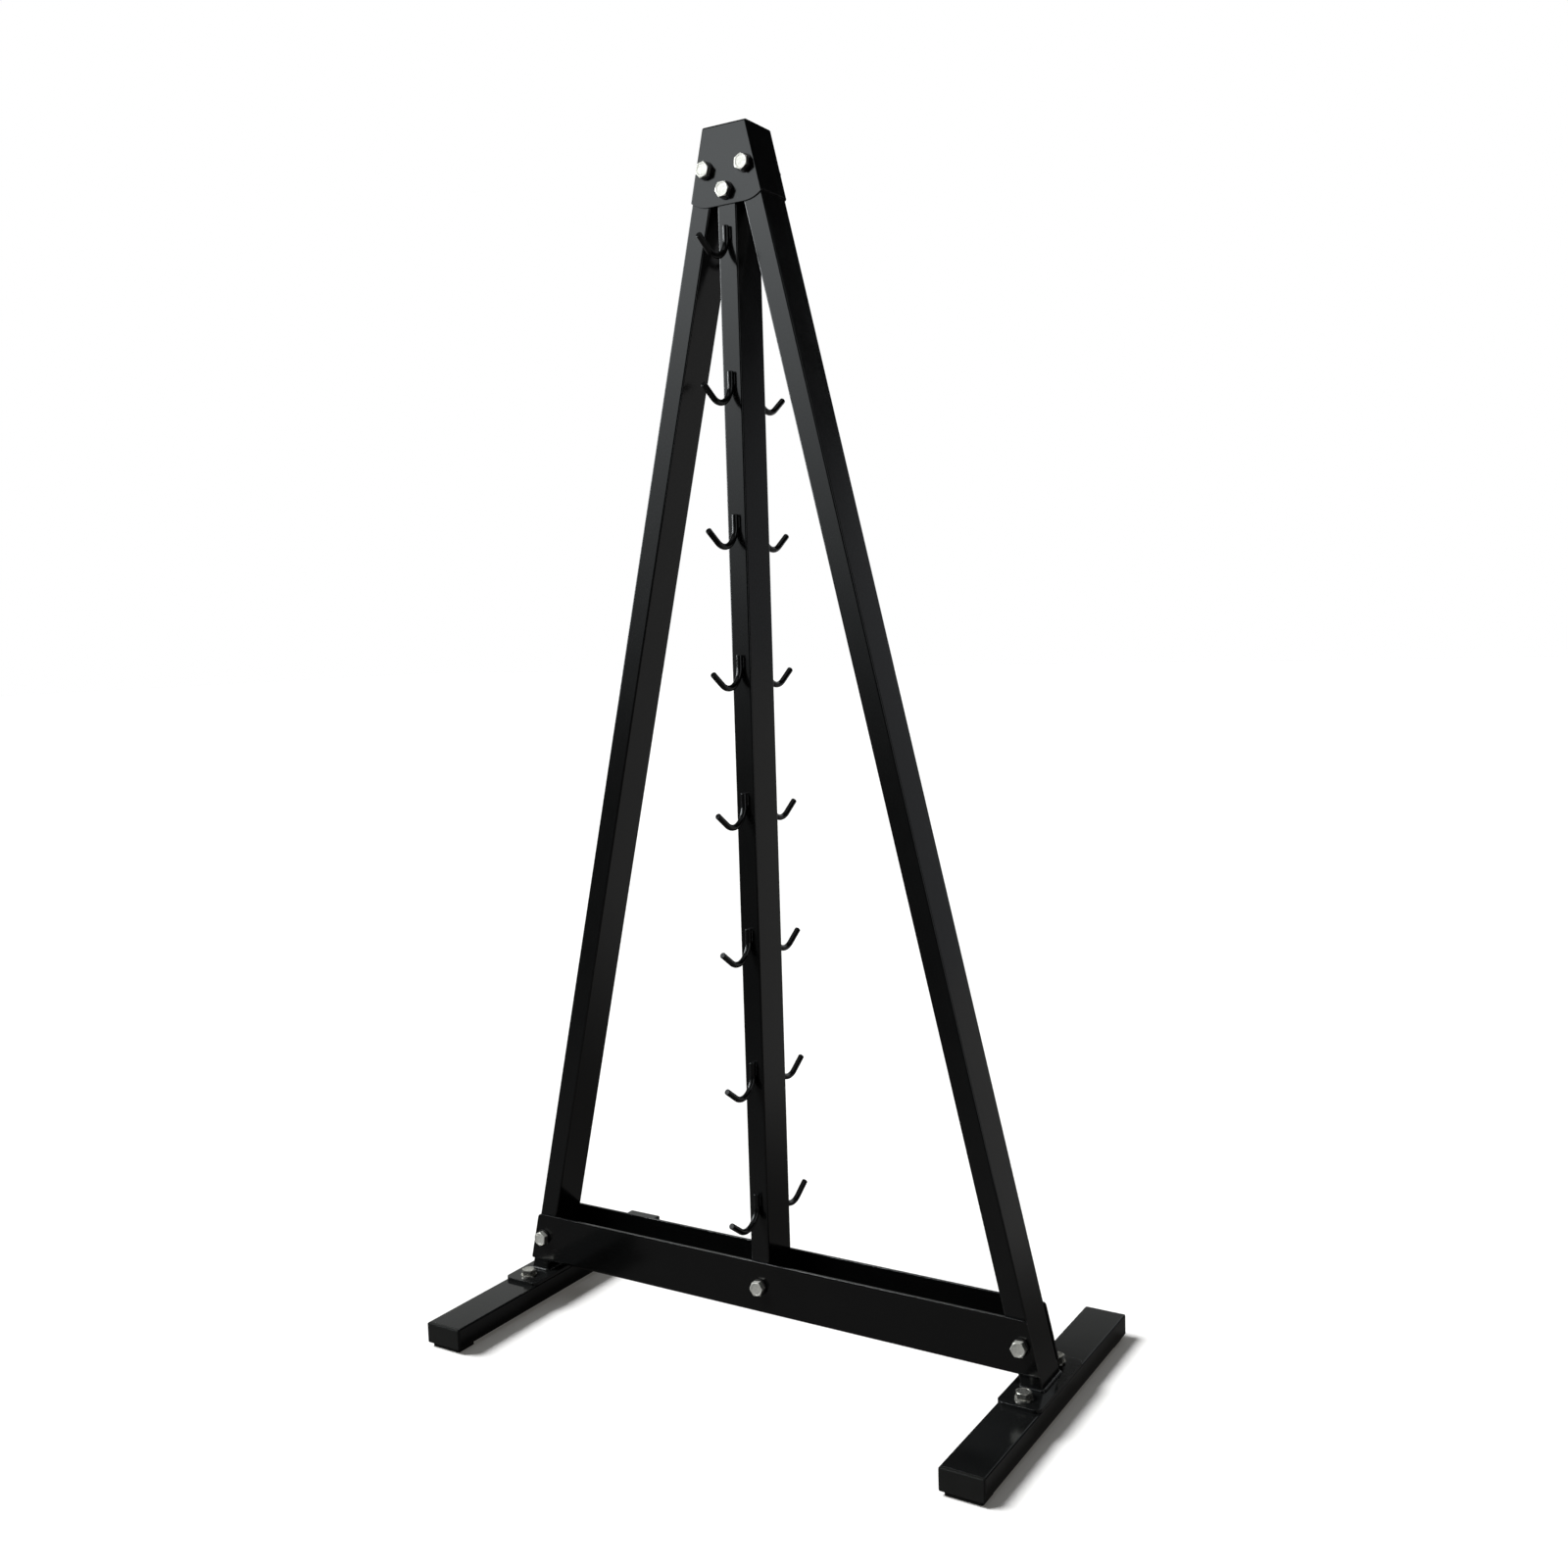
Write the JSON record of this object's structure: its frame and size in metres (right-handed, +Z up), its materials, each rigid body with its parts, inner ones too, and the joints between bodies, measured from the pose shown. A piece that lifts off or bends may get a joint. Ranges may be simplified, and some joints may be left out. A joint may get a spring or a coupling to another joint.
{
  "type": "a-frame hook rack",
  "caption": "A-frame steel rack: two leaning tube legs under a sheet hood, a channel crossbeam, flat feet, and a central post with columns of J-hooks front and back.",
  "frame": {"origin": "on the floor, midway between the two feet", "axes": "+Z up, X along the crossbeam from left to right, -Y to the front where the bolt heads are"},
  "size_m": [0.7338, 0.411, 1.41],
  "materials": {
    "powder_coat": "satin black powder coat",
    "zinc_plate": "bright zinc plate",
    "black_steel": "blackened steel",
    "cap_plastic": "moulded, fine grain",
    "pad_rubber": "matt"
  },
  "bodies": {
    "root": {"left_leg": "powder_coat", "right_leg": "powder_coat", "centre_post": "powder_coat", "crossbeam": "powder_coat", "top_hood": "powder_coat", "left_leg_plate": "powder_coat", "right_leg_plate": "powder_coat", "left_foot": "powder_coat", "right_foot": "powder_coat", "front_hook_1": "powder_coat", "front_hook_2": "powder_coat", "front_hook_3": "powder_coat", "front_hook_4": "powder_coat", "front_hook_5": "powder_coat", "front_hook_6": "powder_coat", "front_hook_7": "powder_coat", "front_hook_8": "powder_coat", "rear_hook_1": "powder_coat", "rear_hook_2": "powder_coat", "rear_hook_3": "powder_coat", "rear_hook_4": "powder_coat", "rear_hook_5": "powder_coat", "rear_hook_6": "powder_coat", "rear_hook_7": "powder_coat", "rear_hook_8": "powder_coat", "left_front_end_cap": "cap_plastic", "left_front_pad": "pad_rubber", "left_rear_end_cap": "cap_plastic", "left_rear_pad": "pad_rubber", "right_front_end_cap": "cap_plastic", "right_front_pad": "pad_rubber", "right_rear_end_cap": "cap_plastic", "right_rear_pad": "pad_rubber", "hood_bolts": "zinc_plate", "hood_nuts": "zinc_plate", "beam_bolts": "zinc_plate", "beam_nuts": "zinc_plate", "foot_bolts": "zinc_plate", "foot_washers": "zinc_plate", "foot_weld_nuts": "zinc_plate", "hood_washers": "black_steel", "beam_washers": "black_steel"}
  },
  "joints": []
}
